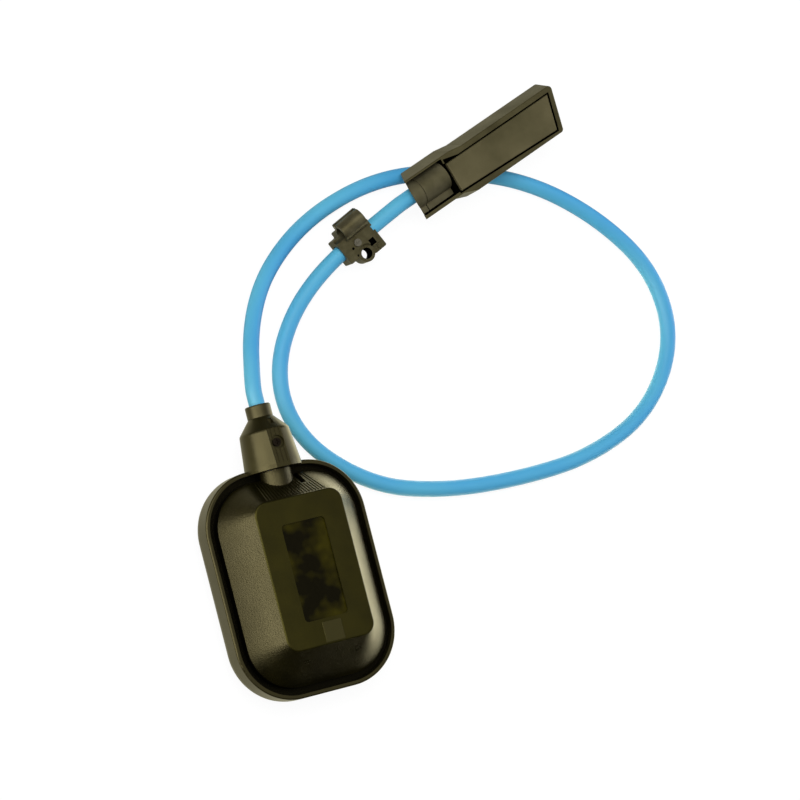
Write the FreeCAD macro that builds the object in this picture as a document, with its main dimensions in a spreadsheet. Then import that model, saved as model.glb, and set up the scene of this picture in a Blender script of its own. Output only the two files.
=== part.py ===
import FreeCAD, Part
import math
import os
import re

import Sketcher

# Driving sizes in millimetres and degrees.
SIZES = {
    # tub of the float, moulded in one with the neck
    "body_width": 85, "body_length": 112.5, "corner_radius": 28.5, "rim_height": 20.5,
    "edge_round": 11, "rim_round": 0.9, "rim_wall": 2, "ledge_depth": 7, "cavity_wall": 5,
    "floor_thick": 3, "cavity_round": 7, "boss_height": 1.5, "boss_radius": 3.5,
    # neck and what holds the cord in it
    "neck_length": 24.3, "neck_base_radius": 14.1, "shoulder_reach": 17.2, "shoulder_radius": 12.3,
    "shoulder_round": 2.5, "cone_step": 0.2, "land_width": 7.2, "land_rise": 0.15,
    "land_groove_width": 0.7, "land_groove_depth": 0.45, "land_groove_pitch": 2.2, "screw_reach": 10.2,
    "counterbore_radius": 3.4, "counterbore_depth": 1.9, "screw_head_radius": 2.1,
    "screw_head_height": 1.3, "screw_radius": 1.4, "recess_width": 0.55, "recess_length": 2.4,
    "recess_depth": 0.8, "notch_width": 2.5, "notch_length": 3, "notch_shift": 1, "notch_reach": 21.2,
    "notch_wall": 0.85, "saddle_wall": 2.35, "chamber_reach": 4.5, "saddle_length": 11,
    "collar_length": 6.2, "collar_wall": 2, "collar_mouth": 0.9, "collar_round": 0.8, "bush_wall": 0.7,
    "bush_depth": 6, "cord_diameter": 8, "cord_clearance": 0.3, "cord_lift": 0.1, "strip_back": 1.5,
    "exit_lead": 9.5, "fit_clearance": 0.15,
    # cover with its window, bulge, latch slot and seal
    "cover_gap": 0.3, "seal_thick": 1, "seal_width": 1.6, "flange_thick": 1.7, "dome_inset": 5.7,
    "foot_rise": 0.8, "cover_rise": 18.5, "cover_wall": 2.3, "plateau_width": 46,
    "plateau_length": 72.5, "plateau_radius": 6, "plateau_shift": 2.4, "plateau_round": 0.9,
    "window_width": 23, "window_length": 48, "window_radius": 2, "window_depth": 0.9,
    "mark_shift": 1.5, "tile_size": 10, "tile_height": 0.35, "tile_gap": 1.6, "tile_round": 0.2,
    "bulge_radius": 8.2, "bulge_reach": 16, "passage_radius": 6.2, "latch_gap": 0.2, "latch_width": 2.8,
    "latch_near": 4, "latch_far": 11.5, "latch_wall": 1.5, "latch_floor": 1.3, "latch_skin": 0.6,
    # tray, ball, lever and snap switch inside the float
    "tray_margin": 4, "tray_thick": 2, "tray_tail": 20.5, "tray_length": 56, "stop_thick": 2,
    "rail_thick": 2, "rail_height": 11.5, "ball_diameter": 18, "ball_travel": 16, "ball_gap": 0.3,
    "track_slope": 3, "channel_gap": 0.4, "pivot_rise": 14.5, "leaf_thick": 1.2, "leaf_side_gap": 0.9,
    "leaf_drop": 20, "leaf_swing": 3, "eye_radius": 1.9, "pin_radius": 1, "pin_clearance": 0.05,
    "pin_over": 0.6, "post_depth": 4.8, "post_top": 2.4, "plunger_drop": 5.8, "plunger_radius": 1.5,
    "plunger_reach": 2.7, "plunger_length": 7, "plunger_bore": 8.8, "plunger_gap": 0.3,
    "plunger_clearance": 0.1, "case_width": 27.8, "case_depth": 15.9, "case_height": 10.3,
    "case_hole_pitch": 22.2, "case_hole_back": 7.5, "peg_radius": 1.45, "peg_clearance": 0.1,
    "peg_height": 8, "shelf_depth": 11, "shelf_width": 5.5, "shelf_set_back": 3,
    "terminal_pitch": 9, "terminal_width": 4.8, "terminal_thick": 0.8, "terminal_length": 6.3,
    "terminal_root": 3, "terminal_clearance": 0.05, "tray_head_gap": 0.4, "tray_screw_start": 3,
    "tray_screw_spread": 33, "tray_screw_radius": 1.1, "tray_screw_head": 2.2, "tray_head_height": 1.6,
    "tray_screw_bite": 1, "thread_clearance": 0.05, "core_diameter": 2.4, "core_circle": 2,
    "core_gap": 0.4, "core_straight": 9, "core_sweep": 22, "core_end": 8,
    # connector on the cord's far end, in its own frame: cord line across nought, underside at height nought
    "plug_entry": 47.5, "plug_far_short": 44.6, "plug_slant": 6.8, "plug_left": 8.2, "plug_right": 15.5,
    "plug_height": 16, "plug_draft": 7, "mouth_left": 9.4, "mouth_right": 12.7, "step_left_start": 17.4,
    "step_left_end": 9.5, "step_right_start": 22, "step_right_end": 14, "entry_lean": 26.6,
    "plug_round": 2, "plug_edge": 0.8, "plug_wall": 2.5, "lid_start": 22, "lid_end_gap": 3.7,
    "lid_left": 4.7, "lid_right_near": 11, "lid_right_far": 13.2, "lid_thick": 1.9, "lid_drop": 0.3,
    "lid_edge": 0.4, "lid_gap": 0.9, "lid_ledge": 2, "pry_length": 11, "pry_width": 3, "pry_back": 1,
    "pry_depth": 2.5, "trough_wall": 1.7, "wall_drop": 3, "cord_height": 8, "trough_left": 8.5,
    "trough_right": 10.9, "bridge_radius": 7.5, "bridge_inset": 0.5, "bridge_gap": 0.3,
    "bridge_foot": 1.5, "bridge_line": 6.4, "line_width": 0.5, "spigot_centre": 28.5, "spigot_length": 25,
    "spigot_width": 14, "spigot_wall": 1.8, "spigot_round": 2, "hollow_round": 0.4, "spigot_depth": 9.2,
    "block_rise": 4.5, "block_recess": 1, "block_lip": 1, "socket_pitch": 6.5, "socket_radius": 2,
    "socket_bore": 1.2, "socket_recess": 1.8, "socket_rise": 6.2, "socket_cap": 1.5, "ring_width": 2,
    "ring_clearance": 0.1, "ring_thick": 1.6, "lead_high": 12.3, "lead_low": 9.3, "lead_turn": 14,
    "lead_ahead": 10, "lead_left": 2, "lead_right": 5, "entry_lead": 8, "sheath_in": 22,
    # pose of the connector, which lies over a run of the cord
    "plug_x": 153.27, "plug_y": 174.63, "plug_lift": 2.05, "plug_yaw": 21, "plug_pitch": 2.5, "plug_roll": 6.3,
    # clip on the cord, in its own frame with the cord's line at height nought
    "clip_slide": 3.5, "clip_back": 11, "clip_ahead": 8.6, "clip_right": 7.4, "clip_bore_gap": 0.4,
    "clip_wall": 1.2, "clip_round": 0.8, "crown_rise": 1.4, "ledge_out": 7.3, "shelf_out": 10.2,
    "shelf_back": 6.5, "shelf_ahead": 7.5, "hook_offset": 8, "hook_lift": 0.6, "hook_radius": 3.1,
    "hook_gap": 0.2, "hook_wall": 1.7, "jaw_back": 5.8, "jaw_ahead": 7.8, "hinge_offset": 12.2,
    "hinge_drop": 2.3, "knuckle_radius": 1.7, "clip_pin_radius": 0.8, "pin_head_radius": 1.3,
    "pin_head_thick": 0.6, "ear_length": 1.5, "ear_gap": 0.3, "eye_offset": 8, "eye_along": -1,
    "eye_bore": 2.75, "eye_wall": 1.6, "eye_space": 0.4, "plate_start": 2.5,
    "plate_out": 11, "clip_flange": 1.4, "slot_start": 3.2, "slot_end": 6.4, "slot_right": 6.8,
    "slot_left": 3.4, "slot_depth": 2.2, "stud_along": 6.7, "stud_out": 9.1, "stud_radius": 1.2,
    "stud_height": 0.9, "pip_radius": 0.6, "pip_depth": 0.9, "pip_along": -5.4, "pip_near": 1.8,
    "pip_pitch": 4.3, "clamp_screw_along": -1.8, "clamp_screw_aside": -0.8, "clamp_screw_radius": 1.9,
    "clamp_screw_head": 1.2, "clamp_screw_shank": 1.1, "clamp_screw_slot": 0.6,
}

# The cord's route on the surface between the neck and the connector, in millimetres.
FLOOR = SIZES["cord_diameter"] / 2 + SIZES["cord_lift"]
ROUTE = [
    (11, 112.5, 12), (30, 138.5, 5.5), (60.5, 160, FLOOR), (101.5, 172, FLOOR), (143, 168.5, FLOOR),
    (184.5, 155.5, FLOOR), (219, 129.5, FLOOR), (242.5, 96.5, FLOOR), (243.5, 59, FLOOR),
    (218.5, 26, FLOOR), (179, 10.5, FLOOR), (135, 8, FLOOR), (93, 11, FLOOR), (55.5, 22, FLOOR),
    (23, 52.5, FLOOR), (20.5, 90, FLOOR), (49, 127.5, 5.5),
]

doc = FreeCAD.newDocument("float_switch")
sheet = doc.addObject("Spreadsheet::Sheet", "sizes")
for row, (alias, number) in enumerate(SIZES.items(), 1):
    sheet.set(f"A{row}", str(number))
    sheet.setAlias(f"A{row}", alias)
doc.recompute()

X_AXIS = FreeCAD.Vector(1, 0, 0)
Y_AXIS = FreeCAD.Vector(0, 1, 0)
Z_AXIS = FreeCAD.Vector(0, 0, 1)
UPRIGHT = FreeCAD.Rotation()
ALONG_X = FreeCAD.Rotation(Y_AXIS, 90)
ALONG_Y = FreeCAD.Rotation(X_AXIS, -90)
TOWARD_TAIL = FreeCAD.Rotation(X_AXIS, 90)

nodes = {}


def formula(text):
    """A formula in the sheet's names, as the document's expressions write it."""
    return re.sub(r"\b[a-z_]\w*\b(?!\()", lambda name: "sizes." + name.group(), str(text))


def value(text):
    return float(sheet.evalExpression(formula(text)))


def bind(obj, prop, text):
    obj.setExpression(prop, formula(text))


def place(obj, point):
    for axis, text in zip("xyz", point):
        bind(obj, f"Placement.Base.{axis}", text)


def set_box(obj, low, high):
    """Sizes and places a box between two corners, each given as three formulas."""
    for prop, start, end in zip(("Length", "Width", "Height"), low, high):
        bind(obj, prop, f"({end}) - ({start})")
    place(obj, low)
    return obj


def set_rod(obj, radius, start, length, turn):
    bind(obj, "Radius", radius)
    bind(obj, "Height", length)
    obj.Placement = FreeCAD.Placement(FreeCAD.Vector(), turn)
    place(obj, start)
    return obj


def box(name, low, high):
    return set_box(doc.addObject("Part::Box", name), low, high)


def rod(name, radius, start, length, turn=UPRIGHT):
    """A round bar from a point, along Z unless it is turned."""
    return set_rod(doc.addObject("Part::Cylinder", name), radius, start, length, turn)


def boss(body, name, radius, start, length, turn=UPRIGHT):
    """A round bar that is added to a body."""
    return set_rod(body.newObject("PartDesign::AdditiveCylinder", name), radius, start, length, turn)


def hole(body, name, radius, start, length, turn=UPRIGHT):
    return set_rod(body.newObject("PartDesign::SubtractiveCylinder", name), radius, start, length, turn)


def lump(body, name, low, high):
    """A box that is added to a body."""
    return set_box(body.newObject("PartDesign::AdditiveBox", name), low, high)


def slot(body, name, low, high):
    return set_box(body.newObject("PartDesign::SubtractiveBox", name), low, high)


def fuse(name, *pieces):
    obj = doc.addObject("Part::MultiFuse", name)
    obj.Shapes = list(pieces)
    obj.Refine = True
    return obj


def cut(name, base, *tools):
    obj = doc.addObject("Part::Cut", name)
    obj.Base = base
    obj.Tool = tools[0] if len(tools) == 1 else fuse(name + "_tools", *tools)
    return obj


def node(label, obj, placement=None):
    """Names a finished sub-part, and moves it from its own frame to its place."""
    obj.Label = label
    if placement is not None:
        obj.Placement = placement
    nodes[label] = obj
    return obj


def new_body(name):
    return doc.addObject("PartDesign::Body", name)


def origin_plane(body, role):
    return next(item for item in body.Origin.OriginFeatures if item.Role == role)


def new_sketch(body, name, role="XY_Plane", lift="0"):
    """A sketch on one of the body's own planes, lifted along that plane's normal."""
    obj = body.newObject("Sketcher::SketchObject", name)
    obj.AttachmentSupport = (origin_plane(body, role), [""])
    obj.MapMode = "FlatFace"
    bind(obj, "AttachmentOffset.Base.z", lift)
    return obj


def fix_point(sketch, geometry, end, x, y):
    for kind, text in (("DistanceX", x), ("DistanceY", y)):
        index = sketch.addConstraint(Sketcher.Constraint(kind, -1, 1, geometry, end, value(text)))
        bind(sketch, f"Constraints[{index}]", text)


def polygon(sketch, points):
    """A closed outline whose corners follow formulas."""
    corners = [FreeCAD.Vector(value(x), value(y), 0) for x, y in points]
    count = len(corners)
    for i, corner in enumerate(corners):
        sketch.addGeometry(Part.LineSegment(corner, corners[(i + 1) % count]), False)
    for i, (x, y) in enumerate(points):
        sketch.addConstraint(Sketcher.Constraint("Coincident", (i - 1) % count, 2, i, 1))
        fix_point(sketch, i, 1, x, y)
    return sketch


def rounded_rectangle(sketch, width, length, radius, centre_x="0", centre_y="0"):
    """An outline of four sides and four tangent corner arcs."""
    w, l, r = value(width) / 2, value(length) / 2, value(radius)
    x, y = value(centre_x), value(centre_y)
    corners = [(w - r, -l + r, -90), (w - r, l - r, 0), (-w + r, l - r, 90), (-w + r, -l + r, 180)]
    for cx, cy, start in corners:
        circle = Part.Circle(FreeCAD.Vector(x + cx, y + cy, 0), Z_AXIS, r)
        sketch.addGeometry(Part.ArcOfCircle(circle, math.radians(start), math.radians(start + 90)), False)
    for i in range(4):
        a = sketch.getPoint(i, 2)
        b = sketch.getPoint((i + 1) % 4, 1)
        sketch.addGeometry(Part.LineSegment(a, b), False)
    for i in range(4):
        sketch.addConstraint(Sketcher.Constraint("Tangent", i, 2, 4 + i, 1))
        sketch.addConstraint(Sketcher.Constraint("Tangent", 4 + i, 2, (i + 1) % 4, 1))
        sketch.addConstraint(Sketcher.Constraint("Vertical" if i % 2 == 0 else "Horizontal", 4 + i))
        if i:
            sketch.addConstraint(Sketcher.Constraint("Equal", 0, i))
    index = sketch.addConstraint(Sketcher.Constraint("Radius", 0, r))
    bind(sketch, f"Constraints[{index}]", radius)
    across, along = f"({width}) / 2", f"({length}) / 2"
    sides = [("DistanceX", 4, f"{centre_x} + {across}"), ("DistanceY", 5, f"{centre_y} + {along}"),
             ("DistanceX", 6, f"{centre_x} - {across}"), ("DistanceY", 7, f"{centre_y} - {along}")]
    for kind, side, text in sides:
        index = sketch.addConstraint(Sketcher.Constraint(kind, -1, 1, side, 1, value(text)))
        bind(sketch, f"Constraints[{index}]", text)
    return sketch


def pad(body, sketch, length, both_ways=False, down=False, kind="PartDesign::Pad"):
    obj = body.newObject(kind, sketch.Name + "_" + kind.split("::")[1].lower())
    obj.Profile = sketch
    bind(obj, "Length", length)
    if both_ways:
        obj.SideType = "Symmetric"
    obj.Reversed = down
    return obj


def pocket(body, sketch, depth, both_ways=False, up=False):
    """A cut below its sketch, or above it."""
    return pad(body, sketch, depth, both_ways, up, "PartDesign::Pocket")


def turn(body, sketch, kind="PartDesign::Revolution"):
    """A full turn of a profile about its sketch's own horizontal axis."""
    obj = body.newObject(kind, sketch.Name + "_" + kind.split("::")[1].lower())
    obj.Profile = sketch
    obj.ReferenceAxis = (sketch, ["H_Axis"])
    obj.Angle = 360
    return obj


def loft(body, first, second, kind="PartDesign::AdditiveLoft"):
    obj = body.newObject(kind, first.Name + "_" + kind.split("::")[1].lower())
    obj.Profile = first
    obj.Sections = [second]
    obj.Ruled = True
    return obj


def round_edges(body, name, radius, chosen):
    """Rounds those edges of the body's last feature that a test picks."""
    doc.recompute()
    base = body.Tip
    picked = [f"Edge{i}" for i, edge in enumerate(base.Shape.Edges, 1) if chosen(edge)]
    obj = body.newObject("PartDesign::Fillet", name)
    obj.Base = (base, picked)
    bind(obj, "Radius", radius)
    return obj


def is_level(height):
    """A test for edges that lie wholly at one height."""
    def test(edge):
        return abs(edge.BoundBox.ZMin - height) < 1e-4 and abs(edge.BoundBox.ZMax - height) < 1e-4
    return test


def tube_path(points):
    """Straight runs joined by tangent arcs, as large as the runs beside them allow."""
    points = [FreeCAD.Vector(*point) for point in points]
    edges, radii = [], []
    start = points[0]
    for before, corner, after in zip(points, points[1:], points[2:]):
        back, ahead = before - corner, after - corner
        reach = 0.45 * min(back.Length, ahead.Length)
        half_turn = (math.pi - back.getAngle(ahead)) / 2
        back.normalize()
        ahead.normalize()
        arc_start, arc_end = corner + back * reach, corner + ahead * reach
        radius = reach / math.tan(half_turn)
        inward = (back + ahead).normalize()
        middle = corner + inward * (radius / math.cos(half_turn) - radius)
        edges.append(Part.LineSegment(start, arc_start).toShape())
        edges.append(Part.Arc(arc_start, middle, arc_end).toShape())
        radii.append(radius)
        start = arc_end
    edges.append(Part.LineSegment(start, points[-1]).toShape())
    return Part.Wire(edges), radii


def tube(name, points, radius):
    """A round tube along a route; its volume is compared with its section times its length."""
    path, radii = tube_path(points)
    first = path.Edges[0]
    ahead = first.tangentAt(first.FirstParameter)
    circle = Part.Wire(Part.makeCircle(radius, first.Vertexes[0].Point, ahead))
    shape = path.makePipeShell([circle], True, True)
    expected = math.pi * radius ** 2 * path.Length
    print(f"{name}: length {path.Length:.1f}, radii " + " ".join(f"{r:.0f}" for r in radii)
          + f", volume over section times length {shape.Volume / expected:.4f}")
    obj = doc.addObject("Part::Feature", name)
    obj.Shape = shape
    return obj


# Places along the float that several pieces share.
MID_Y = "(-(neck_length + collar_length) / 2)"
TOP_Y = "((body_length - neck_length - collar_length) / 2)"
NECK_IN_Y = f"({TOP_Y} - rim_wall)"
CONE_Y = f"({TOP_Y} + neck_length)"
COLLAR_Y = f"({CONE_Y} + collar_length)"
LEDGE_Z = "(rim_height - ledge_depth)"
FLANGE_Z = f"({LEDGE_Z} + seal_thick)"
FOOT_Y = f"({TOP_Y} - dome_inset)"
FOOT_Z = "(rim_height + foot_rise)"
PLATEAU_Y = f"({MID_Y} + plateau_shift)"
PLATEAU_Z = "(rim_height + cover_rise)"
SCREW_Y = f"({TOP_Y} + screw_reach)"
SADDLE_Y = f"({TOP_Y} + chamber_reach)"
CORD_Y = f"({SADDLE_Y} + strip_back)"
CORD_RADIUS = "(cord_diameter / 2)"
CORD_BORE = f"({CORD_RADIUS} + fit_clearance)"
CHAMBER = f"({CORD_BORE} + saddle_wall)"
BUSH_BORE = f"({CORD_RADIUS} + cord_clearance)"
BUSH_RADIUS = f"({BUSH_BORE} + bush_wall)"
COLLAR_RADIUS = f"({BUSH_BORE} + collar_wall)"
CONE_RADIUS = f"({COLLAR_RADIUS} - cone_step)"
NECK_FALL = "((neck_base_radius - shoulder_radius) / shoulder_reach)"
SEAT_Z = f"(rim_height + neck_base_radius + land_rise - {NECK_FALL} * screw_reach - counterbore_depth)"

# Places of the mechanism, counted from the stop that the ball rests against.
STOP_Y = f"({MID_Y} - body_length / 2 + tray_tail)"
TRAY_Z = "(floor_thick + boss_height)"
TRACK_Z = f"({TRAY_Z} + tray_thick)"
BALL_RADIUS = "(ball_diameter / 2)"
BALL_Y = f"({STOP_Y} + ball_gap + {BALL_RADIUS})"
BALL_Z = f"({TRACK_Z} + ball_gap + {BALL_RADIUS} / cos(track_slope * 1deg)"\
         f" + ({BALL_RADIUS} + ball_gap) * tan(track_slope * 1deg))"
LEAF_Y = f"({BALL_Y} + {BALL_RADIUS} + ball_travel - leaf_swing + ball_gap)"
PIVOT_Y = f"({LEAF_Y} + leaf_thick / 2)"
PIVOT_Z = f"({BALL_Z} + pivot_rise)"
CHANNEL = f"({BALL_RADIUS} + channel_gap)"
RAIL_OUT = f"({CHANNEL} + rail_thick)"
LEAF_HALF = f"({CHANNEL} - leaf_side_gap)"
TRAY_SCREW_X = f"({RAIL_OUT} + tray_head_gap + tray_screw_head)"
TRAY_HALF = f"({TRAY_SCREW_X} + tray_margin)"
PLUNGER_Z = f"({PIVOT_Z} - plunger_drop)"
TIP_Y = f"({LEAF_Y} + leaf_thick + plunger_gap)"
CASE_Y = f"({TIP_Y} + plunger_reach)"
CASE_Z = f"({PLUNGER_Z} - case_height / 2)"
TERMINAL_Y = f"({CASE_Y} + case_depth)"


def tray_screw_places():
    """The four places where the tray is screwed to the tub, as formulas."""
    for across in (-1, 1):
        for along in (0, 1):
            yield f"{across} * {TRAY_SCREW_X}", f"{STOP_Y} + tray_screw_start + {along} * tray_screw_spread"


def float_outline(body, name, lift, inset="0"):
    """The float's outline, drawn in from the tub's outer wall."""
    return rounded_rectangle(new_sketch(body, name, lift=lift), f"body_width - 2 * ({inset})",
                             f"body_length - 2 * ({inset})", f"corner_radius - ({inset})", centre_y=MID_Y)


def axis_sketch(body, name):
    """A sketch in the float's upright middle plane, counted from the neck's axis."""
    sketch = new_sketch(body, name, "YZ_Plane")
    bind(sketch, "AttachmentOffset.Base.y", "rim_height")
    return sketch


def make_body_shell():
    """Tub with a ledge for the cover, and the conical neck with its land, chamber and bores."""
    body = new_body("body_shell")
    pad(body, float_outline(body, "tub_outline", "0"), "rim_height")
    round_edges(body, "tub_edge", "edge_round", is_level(0))
    round_edges(body, "rim_edge", "rim_round", is_level(value("rim_height")))

    shoulder_y = f"({TOP_Y} + shoulder_reach)"
    neck = polygon(axis_sketch(body, "neck_profile"), [
        (NECK_IN_Y, "0"), (NECK_IN_Y, "neck_base_radius"), (TOP_Y, "neck_base_radius"),
        (shoulder_y, "shoulder_radius"), (CONE_Y, CONE_RADIUS), (CONE_Y, "0")])
    turn(body, neck)
    shoulder = value(shoulder_y)
    round_edges(body, "shoulder_edge", "shoulder_round", lambda edge: edge.BoundBox.YLength < 0.001
                and abs(edge.BoundBox.YMin - shoulder) < 0.001)
    land = polygon(axis_sketch(body, "land_profile"), [
        (NECK_IN_Y, f"{CHAMBER} + land_rise"), (NECK_IN_Y, "neck_base_radius + land_rise"),
        (TOP_Y, "neck_base_radius + land_rise"), (shoulder_y, "shoulder_radius + land_rise"),
        (shoulder_y, f"{CHAMBER} + land_rise")])
    pad(body, land, "land_width", both_ways=True)

    pocket(body, float_outline(body, "cover_seat", "rim_height", "rim_wall"), "ledge_depth")
    pocket(body, float_outline(body, "cavity_outline", LEDGE_Z, "cavity_wall"), f"{LEDGE_Z} - floor_thick")
    round_edges(body, "cavity_edge", "cavity_round", is_level(value("floor_thick")))

    inside = f"{TOP_Y} - 2 * cavity_wall"
    bush_in = f"{CONE_Y} - bush_depth"
    bush_hole = f"{BUSH_RADIUS} + fit_clearance"
    bores = polygon(axis_sketch(body, "bore_profile"), [
        (inside, "0"), (inside, CHAMBER), (SADDLE_Y, CHAMBER), (SADDLE_Y, CORD_BORE), (bush_in, CORD_BORE),
        (bush_in, bush_hole), (COLLAR_Y, bush_hole), (COLLAR_Y, "0")])
    turn(body, bores, "PartDesign::Groove")
    saddle_end = ("0", f"{SADDLE_Y} + saddle_length + fit_clearance", "rim_height")
    saddle = hole(body, "saddle_space", CHAMBER, saddle_end, "saddle_length + fit_clearance", TOWARD_TAIL)
    saddle.Angle = 180
    hole(body, "counterbore", "counterbore_radius", ("0", SCREW_Y, SEAT_Z), "2 * counterbore_depth")
    hole(body, "screw_hole", "screw_radius + fit_clearance", ("0", SCREW_Y, f"rim_height + {CORD_RADIUS}"),
         "neck_base_radius")

    slope = math.degrees(math.atan(value(NECK_FALL)))
    above = "rim_height + 2 * neck_base_radius"
    for i in (-1, 0, 1):
        low = (f"{i} * land_groove_pitch - land_groove_width / 2", TOP_Y,
               "rim_height + neck_base_radius + land_rise - land_groove_depth")
        high = (f"{i} * land_groove_pitch + land_groove_width / 2", CONE_Y, above)
        groove = slot(body, f"land_groove_{i + 2}", low, high)
        groove.Placement = FreeCAD.Placement(groove.Placement.Base, FreeCAD.Rotation(X_AXIS, -slope))
    notch_y = f"{TOP_Y} + notch_reach"
    slot(body, "cone_notch", ("notch_shift - notch_width / 2", f"{notch_y} - notch_length / 2",
                              f"rim_height + {bush_hole} + notch_wall"),
         ("notch_shift + notch_width / 2", f"{notch_y} + notch_length / 2", above))

    for i, (x, y) in enumerate(tray_screw_places(), 1):
        boss(body, f"boss_{i}", "boss_radius", (x, y, "floor_thick / 2"), "floor_thick / 2 + boss_height")
        hole(body, f"boss_hole_{i}", "tray_screw_radius + thread_clearance",
             (x, y, "floor_thick - 2 * tray_screw_bite"), "2 * tray_screw_bite + 2 * boss_height")
    node("body_shell", body)


def make_cover_shell():
    """Cover with sloping sides, flat top, sunk window, bare tile, half-round bulge and latch slot."""
    body = new_body("cover_shell")
    pad(body, float_outline(body, "flange_outline", FLANGE_Z, "rim_wall + cover_gap"), "flange_thick")
    pad(body, float_outline(body, "foot_outline", FLANGE_Z, "dome_inset"), f"{FOOT_Z} - {FLANGE_Z}")
    slope_high = rounded_rectangle(new_sketch(body, "slope_high", lift=PLATEAU_Z), "plateau_width",
                                   "plateau_length", "plateau_radius", centre_y=PLATEAU_Y)
    loft(body, float_outline(body, "slope_low", FOOT_Z, "dome_inset"), slope_high)
    round_edges(body, "plateau_edge", "plateau_round", is_level(value(PLATEAU_Z)))

    bulge_y = f"({NECK_IN_Y} - cover_gap)"
    arch = boss(body, "bulge_arch", "bulge_radius", ("0", bulge_y, "rim_height"), "bulge_reach", TOWARD_TAIL)
    arch.Angle = 180
    lump(body, "bulge_foot", ("-bulge_radius", f"{bulge_y} - bulge_reach", FLANGE_Z),
         ("bulge_radius", bulge_y, "rim_height"))

    wall = "dome_inset + 1.2 * cover_wall"
    pocket(body, float_outline(body, "hollow_outline", FOOT_Z, wall), f"{FOOT_Z} - {LEDGE_Z}")
    hollow_high = new_sketch(body, "hollow_high", lift=f"{PLATEAU_Z} - cover_wall")
    rounded_rectangle(hollow_high, "plateau_width - 0.9 * cover_wall", "plateau_length - 0.9 * cover_wall",
                      "plateau_radius - 0.4 * cover_wall", centre_y=PLATEAU_Y)
    loft(body, float_outline(body, "hollow_low", FOOT_Z, wall), hollow_high, "PartDesign::SubtractiveLoft")

    run = "(body_length / 2 - dome_inset - plateau_length / 2 - plateau_shift)"
    climb = f"((cover_rise - foot_rise) / {run})"
    floor_z = f"({FLANGE_Z} + flange_thick + latch_floor)"
    latch_end = f"({TOP_Y} - latch_far)"
    back = f"({latch_end} - latch_wall)"
    web = polygon(new_sketch(body, "latch_web", "YZ_Plane", "bulge_radius + latch_gap - latch_wall"), [
        (FOOT_Y, f"{floor_z} - latch_wall"), (FOOT_Y, f"{FOOT_Z} - latch_skin"),
        (back, f"{FOOT_Z} + ({FOOT_Y} - {back}) * {climb} - latch_skin"), (back, f"{floor_z} - latch_wall")])
    pad(body, web, "latch_width + 2 * latch_wall")
    slot(body, "latch_slot", ("bulge_radius + latch_gap", latch_end, floor_z),
         ("bulge_radius + latch_gap + latch_width", f"{TOP_Y} - latch_near", PLATEAU_Z))
    hole(body, "passage", "passage_radius", ("0", TOP_Y, "rim_height"), "bulge_reach + dome_inset",
         TOWARD_TAIL)

    window = new_sketch(body, "window_outline", lift=PLATEAU_Z)
    rounded_rectangle(window, "window_width", "window_length", "window_radius", centre_y=PLATEAU_Y)
    pocket(body, window, "window_depth")
    tile = new_sketch(body, "tile_outline", lift=PLATEAU_Z)
    rounded_rectangle(tile, "tile_size", "tile_size", "tile_height", "mark_shift",
                      f"{PLATEAU_Y} - window_length / 2 - tile_gap - tile_size / 2")
    pad(body, tile, "tile_height")
    round_edges(body, "tile_edge", "tile_round", is_level(value(f"{PLATEAU_Z} + tile_height")))
    node("cover_shell", body)


def make_cover_seal():
    body = new_body("cover_seal")
    outer = "rim_wall + cover_gap"
    pad(body, float_outline(body, "seal_outer", LEDGE_Z, outer), "seal_thick")
    pocket(body, float_outline(body, "seal_inner", LEDGE_Z, f"{outer} + seal_width"), "seal_thick", up=True)
    node("cover_seal", body)


def half_rod(name, radius, start, length):
    """The upper half of a round bar that runs toward the float's tail."""
    obj = rod(name, radius, start, length, TOWARD_TAIL)
    obj.Angle = 180
    return obj


def make_neck_pieces():
    """The screw in the neck, the saddle it presses on the cord, and the bush at the neck's end."""
    head = rod("neck_screw_head", "screw_head_radius", ("0", SCREW_Y, SEAT_Z), "screw_head_height")
    tip = f"(rim_height + {CHAMBER} - fit_clearance)"
    shank = rod("neck_screw_shank", "screw_radius", ("0", SCREW_Y, tip),
                f"{SEAT_Z} - {tip} + screw_head_height / 2")
    top = f"({SEAT_Z} + screw_head_height)"
    slots = []
    for name, wide, long in (("neck_screw_slot", "recess_width", "recess_length"),
                             ("neck_screw_cross", "recess_length", "recess_width")):
        slots.append(box(name, (f"-{wide} / 2", f"{SCREW_Y} - {long} / 2", f"{top} - recess_depth"),
                         (f"{wide} / 2", f"{SCREW_Y} + {long} / 2", f"{top} + recess_depth")))
    node("neck_screw", cut("neck_screw", fuse("neck_screw_blank", head, shank), *slots))

    end = ("0", f"{SADDLE_Y} + saddle_length", "rim_height")
    ring = half_rod("saddle_ring", f"{CHAMBER} - fit_clearance", end, "saddle_length")
    bore = rod("saddle_bore", CORD_BORE, end, "saddle_length", TOWARD_TAIL)
    node("clamp_saddle", cut("clamp_saddle", ring, bore))

    body = new_body("cable_bush")
    start = f"{CONE_Y} - bush_depth + fit_clearance"
    profile = polygon(axis_sketch(body, "bush_profile"), [
        (start, BUSH_BORE), (start, BUSH_RADIUS), (CONE_Y, BUSH_RADIUS), (CONE_Y, COLLAR_RADIUS),
        (COLLAR_Y, COLLAR_RADIUS), (COLLAR_Y, f"{BUSH_BORE} + collar_mouth"),
        (f"{COLLAR_Y} - collar_mouth", BUSH_BORE)])
    turn(body, profile)
    end, radius = value(COLLAR_Y), value(COLLAR_RADIUS)
    round_edges(body, "collar_edge", "collar_round", lambda edge: edge.BoundBox.YMin > end - 0.001
                and edge.BoundBox.XMax > radius - 0.001)
    node("cable_bush", body)


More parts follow.
